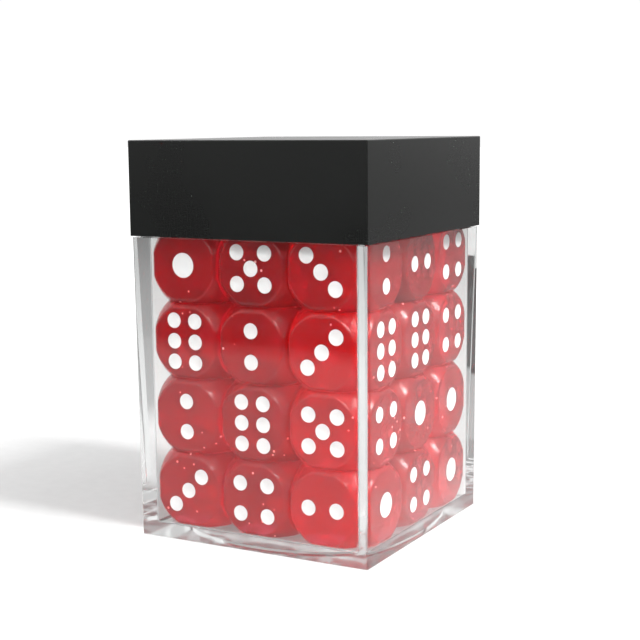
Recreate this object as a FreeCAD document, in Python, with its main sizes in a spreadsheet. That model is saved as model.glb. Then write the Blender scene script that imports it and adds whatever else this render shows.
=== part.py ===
"""Clear plastic dice box: a square tub, a black lift-off lid and 36 loose six-sided dice.

Millimetres, +Z up. The origin is the middle of the underside, on the surface that the box stands on.
The dice stand in nine columns of four. The lid slips over a rim, and its ledge rests on that rim.
"""
import FreeCAD, Part
import math
import os
import Sketcher

DIMENSIONS = {
    "die_size": 12.0,          # across two opposite faces of a die
    "die_edge_round": 0.95,    # along the twelve edges
    "die_ball_margin": 0.27,   # from a side of the cube to the circle in which the ball would cut it
    "die_corner_round": 0.6,   # small radius where the ball has cut the corners
    "pip_diameter": 2.5,
    "pip_depth": 0.35,
    "ace_diameter": 3.95,      # the single pip of the 1 is larger
    "ace_depth": 0.45,
    "pip_spread": 2.43,        # from the middle of a face to the outer pips of the 2, 3, 4 and 5
    "six_column": 1.94,        # from the middle of a face to each column of the 6
    "six_row": 3.27,           # between the rows of the 6
    "die_gap": 0.2,            # between neighbouring dice, and between dice and walls
    "wall_thickness": 2.0,
    "floor_thickness": 1.8,
    "floor_round": 0.5,        # inside, where the walls meet the floor
    "corner_round": 0.35,      # the tub's upright outer corners
    "tub_flare": 0.28,         # how much further out each side of the tub is at the shoulder than at the foot
    "foot_margin": 2.4,        # from the tub's foot to the round recess in its underside
    "foot_recess_depth": 0.35,
    "rim_wall": 1.3,
    "rim_height": 6.0,         # from the tub's shoulder to the top of the rim
    "rim_chamfer": 0.3,
    "lid_height": 14.9,
    "lid_overhang": 0.5,       # how far the lid stands proud of the tub's foot, on each side
    "lid_overlap": 1.55,       # how far the lid's lower edge hangs below the top of the dice
    "lid_gap": 0.2,            # between the tub's shoulder and the lid's lower edge
    "lid_clearance": 0.1,      # between the rim and the skirt of the lid
    "lid_ledge": 0.9,          # how much of the rim's top the lid rests on
    "lid_top": 2.0,
    "lid_edge_round": 0.2,
}

COLUMNS_X = ("left", "middle", "right")
COLUMNS_Y = ("front", "middle", "back")
LAYERS = 4
ACROSS = len(COLUMNS_X)

# The value turned to the front and the value on top, for the dice of each layer from left to right.
# The first layer is the lowest one.
TURNED = {
    1: {"front": ("32", "45", "24"), "middle": ("54", "13", "26"), "back": ("62", "41", "24")},
    2: {"front": ("26", "62", "51"), "middle": ("31", "46", "45"), "back": ("14", "53", "53")},
    3: {"front": ("65", "21", "35"), "middle": ("24", "63", "42"), "back": ("36", "12", "12")},
    4: {"front": ("12", "51", "36"), "middle": ("63", "35", "13"), "back": ("45", "26", "51")},
}

# A die's own axes: the value on each end of each axis. Opposite faces add up to seven.
FACE_AXIS = {1: ("x", 1), 2: ("y", 1), 3: ("z", 1), 4: ("z", -1), 5: ("y", -1), 6: ("x", -1)}
FACE_NORMAL = {
    value: FreeCAD.Vector(*(sign if axis == name else 0 for name in "xyz"))
    for value, (axis, sign) in FACE_AXIS.items()
}
CORNERS = ((1, 1), (1, -1), (-1, 1), (-1, -1))
MIDDLE = ((0, 0),)
PIPS = {
    1: MIDDLE,
    2: ((1, 0), (-1, 0)),
    3: ((1, 1), (0, 0), (-1, -1)),
    4: CORNERS,
    5: CORNERS + MIDDLE,
    6: ((1, 1), (0, 1), (-1, 1), (1, -1), (0, -1), (-1, -1)),
}

YAW_PLAY = 0.8                 # share of the gap between two dice that their small turns may use up
YAW_CHOICES = 5
ON_BALL = 1e-4                 # how near the ball's surface an edge has to lie to count as cut by it
TOUCHING = 1e-6                # two places closer than this are the same
LEAN = 0.05                    # an edge that leans by less than this share of its height is upright

doc = FreeCAD.newDocument("dice_box")
sheet = doc.addObject("Spreadsheet::Sheet", "dimensions")


def fill_sheet():
    """One row for each driving dimension: its name, and the number that its alias gives."""
    for row, (alias, number) in enumerate(DIMENSIONS.items(), start=1):
        sheet.set(f"A{row}", alias)
        sheet.set(f"B{row}", str(number))
        sheet.setAlias(f"B{row}", alias)
    doc.recompute()


def dim(formula):
    """The formula as an expression, with each dimension's name pointing at the sheet."""
    words = formula.split()
    return " ".join(f"dimensions.{word}" if word in DIMENSIONS else word for word in words)


# Lengths that several pieces share, in terms of the sheet's names. Every word is set off by spaces.
HALF_DIE = "( die_size / 2 )"
DIE_PITCH = "( die_size + die_gap )"
CAVITY = f"( {ACROSS} * die_size + {ACROSS + 1} * die_gap )"
TUB_WIDTH = f"( {CAVITY} + 2 * wall_thickness )"      # at its foot
RIM_WIDTH = f"( {CAVITY} + 2 * rim_wall )"
LID_BOTTOM = f"( floor_thickness + {LAYERS} * die_size - lid_overlap )"
SHOULDER = f"( {LID_BOTTOM} - lid_gap )"
RIM_TOP = f"( {SHOULDER} + rim_height )"
LID_WIDTH = f"( {TUB_WIDTH} + 2 * lid_overhang )"
FOOT_RECESS = f"( {TUB_WIDTH} - 2 * foot_margin )"


def body_plane(body, role):
    """One of the body's own origin planes."""
    return next(item for item in body.Origin.OriginFeatures if item.Role == role)


def level_sketch(body, name, height):
    """A sketch that lies level, at a height given as a formula."""
    sketch = body.newObject("Sketcher::SketchObject", name)
    sketch.AttachmentSupport = [(body_plane(body, "XY_Plane"), "")]
    sketch.MapMode = "FlatFace"
    sketch.setExpression("AttachmentOffset.Base.z", dim(height))
    return sketch


def square_sketch(body, name, height, width):
    """A square about the origin, with its width bound to the sheet."""
    sketch = level_sketch(body, name, height)
    size = 10.0
    corners = [FreeCAD.Vector(size * x, size * y, 0) for x, y in ((-1, -1), (1, -1), (1, 1), (-1, 1))]
    for start, end in zip(corners, corners[1:] + corners[:1]):
        sketch.addGeometry(Part.LineSegment(start, end), False)
    for line in range(4):
        sketch.addConstraint(Sketcher.Constraint("Coincident", line, 2, (line + 1) % 4, 1))
    for line, direction in enumerate(("Horizontal", "Vertical", "Horizontal", "Vertical")):
        sketch.addConstraint(Sketcher.Constraint(direction, line))
    sketch.addConstraint(Sketcher.Constraint("Symmetric", 0, 1, 2, 1, -1, 1))
    sketch.addConstraint(Sketcher.Constraint("DistanceX", 0, 1, 0, 2, 2 * size))
    sketch.renameConstraint(sketch.ConstraintCount - 1, "width")
    sketch.addConstraint(Sketcher.Constraint("DistanceY", 1, 1, 1, 2, 2 * size))
    sketch.renameConstraint(sketch.ConstraintCount - 1, "depth")
    sketch.setExpression("Constraints.width", dim(width))
    sketch.setExpression("Constraints.depth", dim(width))
    return sketch


def circle_sketch(body, name, height, diameter):
    """A circle about the origin, with its diameter bound to the sheet."""
    sketch = level_sketch(body, name, height)
    sketch.addGeometry(Part.Circle(FreeCAD.Vector(0, 0, 0), FreeCAD.Vector(0, 0, 1), 10.0), False)
    sketch.addConstraint(Sketcher.Constraint("Coincident", 0, 3, -1, 1))
    sketch.addConstraint(Sketcher.Constraint("Diameter", 0, 20.0))
    sketch.renameConstraint(sketch.ConstraintCount - 1, "diameter")
    sketch.setExpression("Constraints.diameter", dim(diameter))
    return sketch


def pad(body, name, sketch, length):
    """Adds the sketch's outline, upwards."""
    feature = body.newObject("PartDesign::Pad", name)
    feature.Profile = sketch
    feature.setExpression("Length", dim(length))
    doc.recompute()
    return feature


def flared_block(body, name, foot, top, height):
    """A square block about the Z axis, of one width at its foot and another at its top."""
    block = body.newObject("PartDesign::AdditiveWedge", name)
    block.AttachmentSupport = [(body_plane(body, "XZ_Plane"), "")]
    block.MapMode = "FlatFace"                    # the block's own Y then runs up
    for side in "XZ":
        for end, width in (("", foot), ("2", top)):
            block.setExpression(f"{side}{end}min", dim(f"-0.5 * {width}"))
            block.setExpression(f"{side}{end}max", dim(f"0.5 * {width}"))
    block.setExpression("Ymin", "0")
    block.setExpression("Ymax", dim(height))
    doc.recompute()
    return block


def pocket(body, name, sketch, depth, upwards=False):
    """Cuts the sketch's outline, downwards unless told otherwise, and makes sure that it did cut."""
    before = body.Shape.Volume
    feature = body.newObject("PartDesign::Pocket", name)
    feature.Profile = sketch
    feature.Reversed = upwards
    feature.setExpression("Length", dim(depth))
    doc.recompute()
    if body.Shape.Volume >= before:
        raise RuntimeError(f"{name} cut nothing")
    return feature


def edges_where(body, test):
    """The names of the body's straight edges whose two ends pass a test."""
    names = []
    for number, edge in enumerate(body.Shape.Edges, start=1):
        ends = [vertex.Point for vertex in edge.Vertexes]
        if len(ends) == 2 and isinstance(edge.Curve, Part.Line) and test(*ends):
            names.append(f"Edge{number}")
    return names


def is_upright(start, end):
    """True for an edge that runs along Z, or nearly so."""
    return math.hypot(start.x - end.x, start.y - end.y) < LEAN * abs(start.z - end.z) + TOUCHING


def is_level_at(height, start, end):
    """True for an edge that lies level at one height."""
    return abs(start.z - height) < TOUCHING and abs(end.z - height) < TOUCHING


def dress(body, kind, name, size_property, size, edge_names):
    """A fillet or a chamfer on the named edges of the body's last feature."""
    last_feature = body.Tip
    feature = body.newObject(f"PartDesign::{kind}", name)
    feature.Base = (last_feature, edge_names)
    feature.setExpression(size_property, dim(size))
    doc.recompute()
    return feature


def clear_box():
    """The tub: walls and floor, a stepped rim inside the lid, and a shallow round recess underneath."""
    body = doc.addObject("PartDesign::Body", "clear_box")
    flared_block(body, "tub_block", TUB_WIDTH, f"( {TUB_WIDTH} + 2 * tub_flare )", SHOULDER)
    dress(body, "Fillet", "tub_corners", "Radius", "corner_round", edges_where(body, is_upright))
    pad(body, "rim_block", square_sketch(body, "rim_outline", SHOULDER, RIM_WIDTH), "rim_height")
    top = body.Shape.BoundBox.ZMax
    rim_edges = edges_where(body, lambda start, end: is_level_at(top, start, end))
    dress(body, "Chamfer", "rim_lead_in", "Size", "rim_chamfer", rim_edges)

    floor = square_sketch(body, "cavity_outline", "floor_thickness", CAVITY)
    pocket(body, "cavity", floor, f"{RIM_TOP} - floor_thickness", upwards=True)
    floor_height = floor.Placement.Base.z
    cavity_reach = max(vertex.Point.x for vertex in floor.Shape.Vertexes) + TOUCHING

    def in_cavity(start, end):
        upright_inside = is_upright(start, end) and max(abs(start.x), abs(start.y)) < cavity_reach
        return upright_inside or is_level_at(floor_height, start, end)

    dress(body, "Fillet", "cavity_rounds", "Radius", "floor_round", edges_where(body, in_cavity))
    foot = circle_sketch(body, "foot_outline", "0", FOOT_RECESS)
    pocket(body, "foot_recess", foot, "foot_recess_depth", upwards=True)
    return body


def lid():
    """The lid: a square cap, hollow up to its ceiling, with a wider skirt that slips over the rim."""
    body = doc.addObject("PartDesign::Body", "lid")
    pad(body, "lid_block", square_sketch(body, "lid_outline", LID_BOTTOM, LID_WIDTH), "lid_height")
    top = body.Shape.BoundBox.ZMax
    outer_edges = edges_where(body, lambda a, b: is_upright(a, b) or is_level_at(top, a, b))
    dress(body, "Fillet", "lid_edges", "Radius", "lid_edge_round", outer_edges)
    hollow = square_sketch(body, "hollow_outline", LID_BOTTOM, f"{RIM_WIDTH} - 2 * lid_ledge")
    pocket(body, "hollow", hollow, "lid_height - lid_top", upwards=True)
    skirt = square_sketch(body, "skirt_outline", LID_BOTTOM, f"{RIM_WIDTH} + 2 * lid_clearance")
    pocket(body, "skirt", skirt, f"{RIM_TOP} - {LID_BOTTOM}", upwards=True)
    return body


def die_blank():
    """A die without its pips: a cube with rounded edges, cut by a ball that takes off its corners."""
    blank = doc.addObject("PartDesign::Body", "die_blank")
    pad(blank, "cube", square_sketch(blank, "cube_outline", f"0 - {HALF_DIE}", "die_size"), "die_size")
    dress(blank, "Fillet", "rounded_edges", "Radius", "die_edge_round", every_edge(blank))
    ball_body = doc.addObject("PartDesign::Body", "die_ball")
    ball = ball_body.newObject("PartDesign::AdditiveSphere", "ball")
    ball.setExpression("Radius", dim(f"sqrt( {HALF_DIE} ^ 2 + ( {HALF_DIE} - die_ball_margin ) ^ 2 )"))
    doc.recompute()
    reach = ball.Radius.Value
    corners = blank.newObject("PartDesign::Boolean", "cut_corners")
    corners.Type = "Common"
    corners.addObjects([ball_body])
    doc.recompute()
    on_ball = every_edge(blank, lambda edge: abs(middle_of(edge).Length - reach) < ON_BALL)
    dress(blank, "Fillet", "soft_corners", "Radius", "die_corner_round", on_ball)
    return blank


def every_edge(body, test=lambda edge: True):
    """The names of the body's edges that pass a test."""
    return [f"Edge{number}" for number, edge in enumerate(body.Shape.Edges, start=1) if test(edge)]


def middle_of(edge):
    """The point half way along an edge."""
    return edge.valueAt((edge.FirstParameter + edge.LastParameter) / 2)


def pip_centres(value):
    """Where the pips of one face go, as formulas in the two directions along that face."""
    along, across = ("six_row", "six_column") if value == 6 else ("pip_spread", "pip_spread")
    return [(f"{u} * {along}", f"{v} * {across}") for u, v in PIPS[value]]


def pip_tools():
    """One ball for each pip. It reaches below the face by the pip's depth, and is as wide there as the pip."""
    balls = []
    for value, (axis, sign) in FACE_AXIS.items():
        size, depth = ("ace_diameter", "ace_depth") if value == 1 else ("pip_diameter", "pip_depth")
        radius = f"( ( {size} / 2 ) ^ 2 + {depth} ^ 2 ) / ( 2 * {depth} )"
        outwards = f"{sign} * ( {HALF_DIE} + {radius} - {depth} )"
        first, second = (name for name in "xyz" if name != axis)
        for number, (u, v) in enumerate(pip_centres(value), start=1):
            ball = doc.addObject("Part::Sphere", f"pip_{value}_{number}")
            ball.setExpression("Radius", dim(radius))
            ball.setExpression(f"Placement.Base.{axis}", dim(outwards))
            ball.setExpression(f"Placement.Base.{first}", dim(u))
            ball.setExpression(f"Placement.Base.{second}", dim(v))
            balls.append(ball)
    tools = doc.addObject("Part::Compound", "pip_tools")
    tools.Links = balls
    return tools


def turned(front, top):
    """The rotation that brings one value of the die to the front (-Y) and another to the top (+Z)."""
    up = FACE_NORMAL[top]
    back = FACE_NORMAL[7 - front]
    if abs(up.dot(back)) > 0:
        raise ValueError(f"{front} and {top} can't be next to each other")
    return FreeCAD.Rotation(back.cross(up), back, up, "ZXY").inverted()


def yaw(column, row, layer):
    """The small turn about Z of one loose die, in degrees, from a fixed pattern. No two dice meet."""
    most = YAW_PLAY * math.degrees(sheet.die_gap / sheet.die_size)
    half = YAW_CHOICES // 2
    return most * ((3 * column + 2 * row + 4 * layer) % YAW_CHOICES - half) / half


def die(pattern, column, row, layer):
    """One loose die in its place in the stack."""
    name = f"die_{COLUMNS_X[column]}_{COLUMNS_Y[row]}_{layer}"
    copy = doc.addObject("Part::Compound", name)
    copy.Links = [pattern]
    front, top = (int(value) for value in TURNED[layer][COLUMNS_Y[row]][column])
    spin = FreeCAD.Rotation(FreeCAD.Vector(0, 0, 1), yaw(column, row, layer))
    copy.Placement = FreeCAD.Placement(FreeCAD.Vector(0, 0, 0), spin.multiply(turned(front, top)))
    middle = ACROSS // 2
    copy.setExpression("Placement.Base.x", dim(f"{column - middle} * {DIE_PITCH}"))
    copy.setExpression("Placement.Base.y", dim(f"{row - middle} * {DIE_PITCH}"))
    copy.setExpression("Placement.Base.z", dim(f"floor_thickness + {HALF_DIE} + {layer - 1} * die_size"))
    return copy


def dice():
    """Every die of the stack, all copies of one pattern."""
    pattern = doc.addObject("Part::Cut", "die_pattern")
    pattern.Base = die_blank()
    pattern.Tool = pip_tools()
    doc.recompute()
    places = [
        (column, row, layer)
        for layer in range(1, LAYERS + 1)
        for row in range(ACROSS)
        for column in range(ACROSS)
    ]
    return [die(pattern, *place) for place in places]


def check(parts):
    """Stops unless the whole document worked out and every part is one sound solid."""
    for item in doc.Objects:
        if {"Invalid", "Error"} & set(item.State):
            raise RuntimeError(f"{item.Name} failed: {item.State}")
    for part in parts:
        shape = part.Shape
        if shape.isNull() or not shape.isValid() or len(shape.Solids) != 1:
            raise RuntimeError(f"{part.Label} isn't one sound solid")


def write(parts):
    """One STEP file for each part, named after it."""
    os.makedirs("parts", exist_ok=True)
    for part in parts:
        part.Shape.exportStep(os.path.join("parts", f"{part.Label}.step"))


fill_sheet()
pieces = [clear_box(), lid(), *dice()]
doc.recompute()
check(pieces)
write(pieces)
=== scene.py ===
"""Looks for the clear dice box: materials, the paint in the pips, a pale studio and the camera.

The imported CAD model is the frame. Blender adds the pips' paint, which rides on the dice.
"""
import math

import bmesh
import bpy
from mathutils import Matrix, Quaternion, Vector


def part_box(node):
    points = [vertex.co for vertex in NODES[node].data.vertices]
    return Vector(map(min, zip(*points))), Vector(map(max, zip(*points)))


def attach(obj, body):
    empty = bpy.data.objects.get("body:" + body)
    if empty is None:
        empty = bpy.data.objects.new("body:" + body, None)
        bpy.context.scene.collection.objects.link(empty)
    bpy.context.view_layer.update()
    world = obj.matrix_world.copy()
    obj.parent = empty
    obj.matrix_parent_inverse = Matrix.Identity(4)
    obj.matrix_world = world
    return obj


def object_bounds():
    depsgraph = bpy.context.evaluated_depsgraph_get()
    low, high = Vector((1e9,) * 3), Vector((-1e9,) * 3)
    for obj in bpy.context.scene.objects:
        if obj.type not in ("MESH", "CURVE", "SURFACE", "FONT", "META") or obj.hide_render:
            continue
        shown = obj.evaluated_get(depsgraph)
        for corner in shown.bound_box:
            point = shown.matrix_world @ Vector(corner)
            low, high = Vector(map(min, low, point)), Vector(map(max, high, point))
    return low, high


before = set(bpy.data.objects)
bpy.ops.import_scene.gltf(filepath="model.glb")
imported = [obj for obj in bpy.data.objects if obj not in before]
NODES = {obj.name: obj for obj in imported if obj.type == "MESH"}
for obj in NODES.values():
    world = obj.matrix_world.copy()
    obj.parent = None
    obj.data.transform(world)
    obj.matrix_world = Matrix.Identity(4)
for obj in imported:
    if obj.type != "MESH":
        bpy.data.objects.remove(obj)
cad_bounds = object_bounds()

MM = 0.001
DICE = sorted(name for name in NODES if name.startswith("die_"))
UNDERSIDE = cad_bounds[0].z

# ---------------------------------------------------------------- node helpers


class Nodes:
    """A node tree, with short calls to add nodes and join them."""

    def __init__(self, tree, coordinates="Object"):
        self.tree = tree
        self.place = self.add("TexCoord").outputs[coordinates]

    def add(self, kind, **settings):
        node = self.tree.nodes.new(f"ShaderNode{kind}")
        for key, value in settings.items():
            setattr(node, key, value)
        return node

    def link(self, start, end):
        self.tree.links.new(start, end)

    def noise(self, scale, detail=2.0, stretch=None):
        """Noise in object space. Scale is in features per metre, times the stretch along each axis."""
        place = self.place
        if stretch:
            mapping = self.add("Mapping")
            mapping.inputs["Scale"].default_value = stretch
            self.link(place, mapping.inputs["Vector"])
            place = mapping.outputs["Vector"]
        noise = self.add("TexNoise")
        noise.inputs["Scale"].default_value = scale
        noise.inputs["Detail"].default_value = detail
        self.link(place, noise.inputs["Vector"])
        return noise.outputs["Fac"]

    def ramp(self, value, stops):
        """The value through a colour ramp, given as pairs of a place and a grey or a colour."""
        node = self.add("ValToRGB")
        ramp = node.color_ramp
        while len(ramp.elements) < len(stops):
            ramp.elements.new(0.5)
        for element, (place, colour) in zip(ramp.elements, stops):
            element.position = place
            if isinstance(colour, (int, float)):
                colour = (colour, colour, colour)
            element.color = (*colour, 1.0)
        self.link(value, node.inputs["Fac"])
        return node.outputs["Color"]

    def blend(self, share, start, end):
        """From the start colour, a socket, to the end colour, a constant."""
        node = self.add("MixRGB")
        self.link(share, node.inputs["Fac"])
        self.link(start, node.inputs["Color1"])
        node.inputs["Color2"].default_value = (*end, 1.0)
        return node.outputs["Color"]

    def profile(self, value, stops):
        """Like a ramp, with the stops' places in the value's own unit."""
        low, high = stops[0][0], stops[-1][0]
        share = self.math("DIVIDE", self.math("SUBTRACT", value, low), high - low)
        return self.ramp(share, [((place - low) / (high - low), grey) for place, grey in stops])

    def math(self, operation, first, second=0.0):
        """One step of arithmetic on sockets or numbers. Some operations take only the first value."""
        node = self.add("Math", operation=operation)
        for socket, value in zip(node.inputs, (first, second)):
            if isinstance(value, (int, float)):
                socket.default_value = value
            else:
                self.link(value, socket)
        return node.outputs["Value"]

    def axes(self):
        """The three parts of the coordinates."""
        split = self.add("SeparateXYZ")
        self.link(self.place, split.inputs["Vector"])
        return split.outputs

    def ray(self, kind):
        """One where the ray is of this kind, zero elsewhere."""
        return self.add("LightPath").outputs[f"Is {kind} Ray"]

    def mirrored(self):
        """One where the ray is a reflection that no matt surface has scattered, zero elsewhere."""
        scatters = self.add("LightPath").outputs["Diffuse Depth"]
        return self.math("MULTIPLY", self.ray("Glossy"), self.math("LESS_THAN", scatters, 0.5))


class Surface(Nodes):
    """A material made round one Principled shader."""

    def __init__(self, name):
        self.material = bpy.data.materials.new(name)
        self.material.use_nodes = True
        super().__init__(self.material.node_tree)
        self.shader = self.tree.nodes["Principled BSDF"]

    def set(self, **values):
        """Constants on the shader. An underscore stands for a space in the socket's name."""
        for key, value in values.items():
            self.shader.inputs[key.replace("_", " ")].default_value = value

    def feed(self, **values):
        """Node outputs into the shader's sockets, named in the same way."""
        for key, value in values.items():
            self.link(value, self.shader.inputs[key.replace("_", " ")])

    def bump(self, height, distance):
        """Bump of a real height in metres, into the shader's normal."""
        node = self.add("Bump")
        node.inputs["Distance"].default_value = distance
        self.link(height, node.inputs["Height"])
        self.feed(Normal=node.outputs["Normal"])

    def pass_light(self, tint):
        """Lets lamps shine straight through with a tint, so that what is inside is lit."""
        clear = self.add("BsdfTransparent")
        clear.inputs["Color"].default_value = (*tint, 1.0)
        mix = self.add("MixShader")
        self.link(self.ray("Shadow"), mix.inputs[0])
        self.link(self.shader.outputs["BSDF"], mix.inputs[1])
        self.link(clear.outputs["BSDF"], mix.inputs[2])
        self.link(mix.outputs["Shader"], self.tree.nodes["Material Output"].inputs["Surface"])


def wear(surface):
    """Fine rubbed scratches: thin lines where noise, stretched in three ways, is near its middle."""
    scratches = 0.0
    for stretch in ((1.0, 0.05, 0.08), (0.06, 1.0, 0.9), (0.4, 0.07, 1.0)):
        value = surface.noise(2600.0, detail=1.0, stretch=stretch)
        lines = surface.ramp(value, ((0.485, 0.0), (0.5, 1.0), (0.515, 0.0)))
        scratches = surface.math("MAXIMUM", scratches, lines)
    return scratches


def flecks(surface):
    """Tiny bubbles: small round dots in a few patches, one where there is a bubble."""
    dots = surface.add("TexVoronoi")
    dots.inputs["Scale"].default_value = 650.0
    surface.link(surface.place, dots.inputs["Vector"])
    near = surface.ramp(dots.outputs["Distance"], ((0.10, 1.0), (0.17, 0.0)))
    patches = surface.ramp(surface.noise(190.0), ((0.56, 0.0), (0.60, 1.0)))
    return surface.math("MULTIPLY", near, patches)


# ---------------------------------------------------------------- materials

PLASTIC_IOR = 1.49
MATTE_HEIGHT = 0.40 * MM    # the underside's matte finish takes in the recess and stops here
MATTE_ROUGHNESS = 0.10


def clear_plastic():
    """Polished clear plastic: faint handling haze, a barely uneven surface and a matte underside.

    It takes in a little light along its way, so the walls are greyer where they are seen edge-on.
    """
    surface = Surface("clear_plastic")
    surface.set(Base_Color=(0.985, 0.995, 0.992, 1), Transmission_Weight=1.0, IOR=PLASTIC_IOR)
    haze = surface.ramp(surface.noise(90.0, detail=3.0), ((0.45, 0.0), (0.8, 0.02)))
    _, _, height = surface.axes()
    underside = (0.0, MATTE_ROUGHNESS), (MATTE_HEIGHT, MATTE_ROUGHNESS)
    matte = surface.profile(height, (*underside, (MATTE_HEIGHT + 0.02 * MM, 0.0), (1.0 * MM, 0.0)))
    surface.feed(Roughness=surface.math("MAXIMUM", haze, matte))
    surface.bump(surface.noise(70.0, detail=1.0), 0.004 * MM)
    surface.pass_light((1.0, 1.0, 1.0))
    smoke = surface.add("VolumeAbsorption")
    smoke.inputs["Color"].default_value = (0.03, 0.05, 0.04, 1.0)
    smoke.inputs["Density"].default_value = 3.0
    surface.link(smoke.outputs["Volume"], surface.tree.nodes["Material Output"].inputs["Volume"])
    return surface.material


def lid_plastic():
    """Satin black plastic with a fine moulded texture and a few light scuffs."""
    surface = Surface("lid_plastic")
    surface.set(Base_Color=(0.0014, 0.0018, 0.0015, 1), IOR=1.5, Specular_IOR_Level=0.36)
    patchy = surface.ramp(surface.noise(60.0, detail=3.0), ((0.35, 0.26), (0.7, 0.32)))
    rough = surface.math("ADD", patchy, surface.math("MULTIPLY", wear(surface), 0.03))
    surface.feed(Roughness=rough)
    surface.bump(surface.noise(5200.0), 0.0025 * MM)
    return surface.material


def dice_plastic():
    """Translucent red resin: clear enough to glow at the edges, with swirls and a few tiny bubbles."""
    surface = Surface("dice_plastic")
    surface.set(IOR=PLASTIC_IOR, Subsurface_Weight=1.0)
    surface.set(Subsurface_Scale=3.0 * MM, Subsurface_Radius=(1.0, 0.12, 0.10))
    bubbles = flecks(surface)
    swirl = surface.noise(160.0, detail=3.0)
    red = surface.ramp(swirl, ((0.35, (0.955, 0.006, 0.020)), (0.65, (0.985, 0.010, 0.030))))
    colour = surface.blend(bubbles, red, (0.98, 0.36, 0.34))
    haze = surface.ramp(surface.noise(420.0), ((0.4, 0.08), (0.75, 0.14)))
    rough = surface.math("MAXIMUM", haze, surface.math("MULTIPLY", bubbles, 0.4))
    clear = surface.math("SUBTRACT", 0.84, surface.math("MULTIPLY", bubbles, 0.6))
    surface.feed(Base_Color=colour, Roughness=rough, Transmission_Weight=clear)
    surface.bump(wear(surface), 0.003 * MM)
    surface.pass_light((0.35, 0.04, 0.04))
    return surface.material


def pip_paint():
    """White paint, a little uneven in tone and surface."""
    surface = Surface("pip_paint")
    surface.set(IOR=1.5, Roughness=0.45)
    white = surface.ramp(surface.noise(900.0), ((0.3, (0.70, 0.69, 0.69)), (0.7, (0.76, 0.76, 0.76))))
    surface.feed(Base_Color=white)
    surface.bump(surface.noise(2500.0), 0.01 * MM)
    return surface.material


# How bright the floor is when it is mirrored in the walls, by its place in metres.
MIRROR_ALONG_Y = (
    (-0.60, 0.12), (-0.21, 0.12), (-0.20, 0.05), (-0.185, 0.05),
    (-0.175, 0.52), (-0.03, 0.58), (0.03, 0.95), (0.60, 0.95),
)
MIRROR_ALONG_X = ((-0.60, 1.0), (0.02, 1.0), (0.04, 0.55), (0.10, 0.48), (0.15, 0.42), (0.60, 0.42))
FAR_GLOW = ((0.05, 0.0), (0.30, 0.7), (3.0, 0.7))   # what the camera sees, by the distance from the box
UNDER_BOX, BESIDE_BOX = 20.0 * MM, 20.6 * MM        # just inside and outside the edge of the tub's foot
SHADE_UNDER = 0.3
GLOW_UNDER = 0.32


def floor_paper():
    """Plain pale paper. Three things in it stand in for light that the stage doesn't have.

    Mirrored in the walls, it is dimmer towards the front and to the right. To the camera it
    brightens to white away from the box. Under the box it is darker, but glows a little in
    reflections, in place of the light that a real clear floor pipes down to it.
    """
    surface = Surface("floor_paper")
    surface.set(Roughness=0.9, Specular_IOR_Level=0.0, Emission_Color=(1.0, 1.0, 1.0, 1.0))
    pale = surface.ramp(surface.noise(400.0), ((0.3, 0.63), (0.7, 0.65)))
    x, y, _ = surface.axes()
    reach = surface.math("MAXIMUM", surface.math("ABSOLUTE", x), surface.math("ABSOLUTE", y))

    def by_place(under, beside):
        """One value under the box and another beside it."""
        stops = (0.0, under), (UNDER_BOX, under), (BESIDE_BOX, beside), (0.1, beside)
        return surface.profile(reach, stops)

    across = surface.profile(x, MIRROR_ALONG_X)
    bright = surface.math("MULTIPLY", surface.profile(y, MIRROR_ALONG_Y), across)
    mirrored = surface.mirrored()
    dim = surface.math("MULTIPLY", surface.math("SUBTRACT", 1.0, bright), mirrored)
    shade = surface.math("MULTIPLY", by_place(SHADE_UNDER, 1.0), surface.math("SUBTRACT", 1.0, dim))
    surface.feed(Base_Color=surface.math("MULTIPLY", pale, shade))

    squares = surface.math("ADD", surface.math("POWER", x, 2.0), surface.math("POWER", y, 2.0))
    far = surface.profile(surface.math("SQRT", squares), FAR_GLOW)
    seen = surface.math("MULTIPLY", far, surface.ray("Camera"))
    piped = surface.math("MULTIPLY", by_place(GLOW_UNDER, 0.0), surface.ray("Glossy"))
    surface.feed(Emission_Strength=surface.math("ADD", seen, piped))
    return surface.material


# ---------------------------------------------------------------- paint in the pips

PAINT_SEGMENTS = 28
PAINT_RINGS = 5
PAINT_FILL = 0.45           # how much of the dimple's depth the paint fills, at its middle
PAINT_SINK = 0.02 * MM      # how far the paint reaches into the plastic, so that nothing shows between
RIM_MARGIN = 0.015 * MM     # how far inside the dimple's rim the paint stops
LARGEST_PIP = 6.0 * MM      # a wider or shallower island of faces isn't a dimple
SHALLOWEST_PIP = 0.2 * MM
WELD = 0.0005 * MM          # vertices nearer to each other than this become one
ON_FACE = 0.002 * MM        # how near to a die's flat face a triangle has to be to lie on it
ON_RIM = 0.003 * MM         # and a vertex, to be on a dimple's rim
SAME_WAY = 0.999            # least cosine between a die's face and a triangle that lies on it
OTHER_WAY = 0.1             # greatest cosine between two different faces of a die


def dimples(node):
    """The middle, outward axis, radius and depth of each dimple, read from a die's mesh.

    When the flat faces are taken away, each dimple is left as an island of faces.
    """
    mesh = bmesh.new()
    mesh.from_mesh(node.data)
    bmesh.ops.remove_doubles(mesh, verts=mesh.verts, dist=WELD)
    low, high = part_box(node.name)
    middle = (low + high) / 2
    half = (high.z - low.z) / 2
    sides = side_normals(mesh.faces)

    def is_flat(face):
        side = max(sides, key=lambda normal: normal.dot(face.normal))
        reach = side.dot(face.calc_center_median() - middle)
        return side.dot(face.normal) > SAME_WAY and abs(reach - half) < ON_FACE

    flat = [face for face in mesh.faces if is_flat(face)]
    bmesh.ops.delete(mesh, geom=flat, context="FACES")
    found = []
    for island in islands(mesh):
        if max((vertex.co - island[0].co).length for vertex in island) >= LARGEST_PIP:
            continue
        centre, axis, radius, depth = dimple(island, middle, half, sides)
        if depth > SHALLOWEST_PIP:
            found.append((centre, axis, radius, depth))
    mesh.free()
    return found


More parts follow.
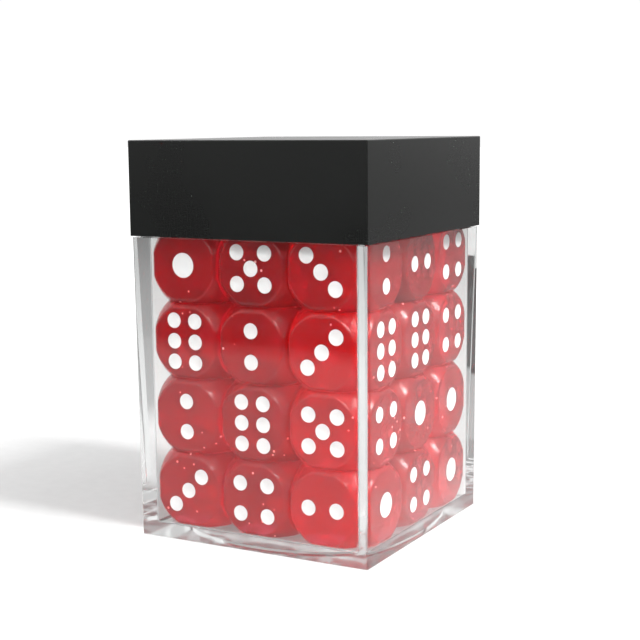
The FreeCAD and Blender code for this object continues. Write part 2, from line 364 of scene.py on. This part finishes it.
def side_normals(faces):
    """The six directions that a die's flat faces look in. Its largest triangles lie on them."""
    normals = []
    for face in sorted(faces, key=lambda face: face.calc_area(), reverse=True):
        if all(face.normal.dot(other) < OTHER_WAY for other in normals):
            normals.append(face.normal.copy())
        if len(normals) == 6:
            break
    return normals


def islands(mesh):
    """Connected groups of vertices that still carry faces, in the mesh's own order."""
    seen = set()
    groups = []
    for start in mesh.verts:
        if start in seen or not start.link_faces:
            continue
        seen.add(start)
        group = [start]
        for vertex in group:    # the group grows while it is walked
            for edge in vertex.link_edges:
                other = edge.other_vert(vertex)
                if other not in seen:
                    seen.add(other)
                    group.append(other)
        groups.append(group)
    return groups


def dimple(island, middle, half, sides):
    """A dimple's place and size, from its rim, which lies on the flat face, and its deepest point."""
    centre = sum((vertex.co for vertex in island), Vector()) / len(island)
    axis = max(sides, key=lambda side: side.dot(centre - middle))
    depths = [half - axis.dot(vertex.co - middle) for vertex in island]
    rim = [vertex.co for vertex, depth in zip(island, depths) if depth < ON_RIM]
    first = rim[0]
    second = max(rim, key=lambda point: (point - first).length)
    third = max(rim, key=lambda point: min((point - first).length, (point - second).length))
    centre = circle_middle(first, second, third)
    return centre, axis, (first - centre).length, max(depths)


def circle_middle(first, second, third):
    """The middle of the circle through three points."""
    a, b = second - first, third - first
    normal = a.cross(b)
    reach = b.length_squared * normal.cross(a) + a.length_squared * b.cross(normal)
    return first + reach / (2 * normal.length_squared)


def paint_profile(radius, depth):
    """The paint's top and bottom from the axis out to the rim, as pairs of a radius and a height."""
    outer = radius - RIM_MARGIN
    top, bottom = [], []
    for step in range(PAINT_RINGS + 1):
        r = outer * math.sin(math.pi / 2 * step / PAINT_RINGS)
        bowl = 1 - (r / radius) ** 2
        top.append((r, -depth * (1 - PAINT_FILL) * bowl))
        bottom.append((r, -(depth + PAINT_SINK) * bowl))
    return top, bottom


def add_paint(mesh, centre, axis, radius, depth):
    """One pip's paint: a closed dish that lies in its dimple."""
    turn = axis.to_track_quat("Z", "Y").to_matrix()
    top, bottom = paint_profile(radius, depth)

    def point(r, height, angle):
        place = Vector((r * math.cos(angle), r * math.sin(angle), height))
        return mesh.verts.new(centre + turn @ place)

    def ring(r, height):
        return [point(r, height, math.tau * i / PAINT_SEGMENTS) for i in range(PAINT_SEGMENTS)]

    rings = [ring(*place) for place in top[1:]] + [ring(*place) for place in reversed(bottom[1:])]
    caps = point(0, top[0][1], 0), point(0, bottom[0][1], 0)
    for i in range(PAINT_SEGMENTS):
        j = (i + 1) % PAINT_SEGMENTS
        mesh.faces.new((caps[0], rings[0][i], rings[0][j]))
        for inner, outer in zip(rings, rings[1:]):
            mesh.faces.new((inner[i], outer[i], outer[j], inner[j]))
        mesh.faces.new((caps[1], rings[-1][j], rings[-1][i]))


def paint_die(name, material):
    """The paint of all of a die's pips, as one piece that rides on the die."""
    mesh = bmesh.new()
    for place in dimples(NODES[name]):
        add_paint(mesh, *place)
    data = bpy.data.meshes.new(f"paint_{name}")
    mesh.to_mesh(data)
    mesh.free()
    data.shade_smooth()
    data.materials.append(material)
    piece = bpy.data.objects.new(f"paint_{name}", data)
    bpy.context.collection.objects.link(piece)
    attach(piece, name)


# ---------------------------------------------------------------- studio and camera

CAMERA_PLACE = (0.10969, -0.19560, 0.06567)
CAMERA_AZIMUTH = 28.95      # degrees round to the right of the front
CAMERA_DOWN = 8.17          # degrees below level
CAMERA_ROLL = -0.513        # degrees
CAMERA_LENS = 77.54         # millimetres
CAMERA_SENSOR = 36.0        # millimetres wide

FLOOR_SIZE = 6.0
FLOOR_DROP = 0.03 * MM      # a hair of air under the box, as under a real one
AIM = Vector((0, 0, 0.03))  # about the middle of the box, where the lamps and the card look
WALL_CROSSINGS = 4          # surfaces that light crosses on its way in and out through one wall

# Each lamp's name, place and size in metres, and power in watts.
LAMPS = (
    ("key", (0.50, -0.05, 0.55), (0.10, 0.25), 6.0),
    ("front", (0.16, -0.62, 0.44), (0.13, 0.13), 1.6),
    ("high_left", (-0.20, -0.53, 0.60), (0.06, 0.06), 0.35),
)
CARD_PLACE = (0.31, -0.44, 0.50)
CARD_SIZE = (0.22, 0.22)
CARD_GLOW = 70.0

# How bright the room is, by its direction: along Y, then along X.
ROOM_ALONG_Y = ((-1.0, 1.1), (-0.3, 1.05), (0.2, 1.0), (1.0, 1.0))
ROOM_ALONG_X = ((-1.0, 0.85), (-0.7, 1.0), (0.2, 1.0), (0.5, 0.7), (1.0, 0.7))
ROOM_LIGHT = 1.02

BOUNCES = 32                # the camera sees the back through many clear surfaces
CLEAR_CROSSINGS = 64        # the most surfaces that light may pass straight through


def camera():
    data = bpy.data.cameras.new("camera")
    data.lens = CAMERA_LENS
    data.sensor_width = CAMERA_SENSOR
    data.clip_start, data.clip_end = 0.01, 20.0
    eye = bpy.data.objects.new("camera", data)
    bpy.context.collection.objects.link(eye)
    azimuth, down = math.radians(CAMERA_AZIMUTH), math.radians(CAMERA_DOWN)
    level = math.cos(down)
    ahead = Vector((-math.sin(azimuth) * level, math.cos(azimuth) * level, -math.sin(down)))
    roll = Quaternion((0, 0, 1), math.radians(CAMERA_ROLL))
    eye.rotation_mode = "QUATERNION"
    eye.rotation_quaternion = ahead.to_track_quat("-Z", "Y") @ roll
    eye.location = CAMERA_PLACE
    bpy.context.scene.camera = eye


def floor():
    bpy.ops.mesh.primitive_plane_add(size=FLOOR_SIZE, location=(0, 0, UNDERSIDE - FLOOR_DROP))
    plane = bpy.context.object
    plane.name = "floor"
    plane.data.materials.append(floor_paper())


def world_light():
    """A pale room, white to the camera.

    For everything else it is slightly brighter in front of the box, and dimmer to its right and far
    to its left.
    """
    world = bpy.data.worlds.new("studio")
    world.use_nodes = True
    sky = Nodes(world.node_tree, "Generated")
    x, y, _ = sky.axes()
    light = sky.math("MULTIPLY", sky.profile(y, ROOM_ALONG_Y), sky.profile(x, ROOM_ALONG_X))
    background = world.node_tree.nodes["Background"]
    sky.link(sky.math("MAXIMUM", light, sky.ray("Camera")), background.inputs["Color"])
    background.inputs["Strength"].default_value = ROOM_LIGHT
    bpy.context.scene.world = world


def aim(thing, place, axis):
    """Puts a lamp or a card in its place, with this axis of its own towards the box."""
    thing.location = place
    thing.rotation_euler = (AIM - Vector(place)).to_track_quat(axis, "Y").to_euler()


def lamp(name, place, size, power):
    light = bpy.data.lights.new(name, "AREA")
    light.shape = "RECTANGLE"
    light.size, light.size_y = size
    light.energy = power
    piece = bpy.data.objects.new(name, light)
    bpy.context.collection.objects.link(piece)
    aim(piece, place, "-Z")


def card_glow():
    """Light that only shows as a sharp reflection, seen directly or through one clear wall."""
    material = bpy.data.materials.new("glint_front")
    material.use_nodes = True
    nodes = Nodes(material.node_tree)
    crossed = nodes.add("LightPath").outputs["Transmission Depth"]
    outside = nodes.math("LESS_THAN", crossed, WALL_CROSSINGS + 0.5)
    shown = nodes.math("MULTIPLY", nodes.mirrored(), outside)
    glow = nodes.add("Emission")
    nodes.link(nodes.math("MULTIPLY", shown, CARD_GLOW), glow.inputs["Strength"])
    nodes.link(glow.outputs["Emission"], material.node_tree.nodes["Material Output"].inputs["Surface"])
    material.cycles.emission_sampling = "NONE"
    return material


def glint_card():
    """A bright card in front of the box and above it, for the small highlights on the dice."""
    bpy.ops.mesh.primitive_plane_add(size=1.0)
    card = bpy.context.object
    card.name = "glint_front"
    card.scale = (*CARD_SIZE, 1.0)
    aim(card, CARD_PLACE, "Z")
    card.data.materials.append(card_glow())
    card.visible_camera = card.visible_diffuse = card.visible_shadow = False


def render_settings():
    cycles = bpy.context.scene.cycles
    cycles.max_bounces = cycles.glossy_bounces = cycles.transmission_bounces = BOUNCES
    cycles.transparent_max_bounces = CLEAR_CROSSINGS
    view = bpy.context.scene.view_settings
    view.view_transform = "Standard"
    view.look = "None"


# ---------------------------------------------------------------- the scene


def finish_node(name, material):
    """Gives a CAD node its material."""
    for place in NODES[name].material_slots:
        place.material = material


camera()
floor()
world_light()
for settings in LAMPS:
    lamp(*settings)
glint_card()
render_settings()

finish_node("clear_box", clear_plastic())
finish_node("lid", lid_plastic())
red = dice_plastic()
white = pip_paint()
for die_name in DICE:
    finish_node(die_name, red)
    paint_die(die_name, white)
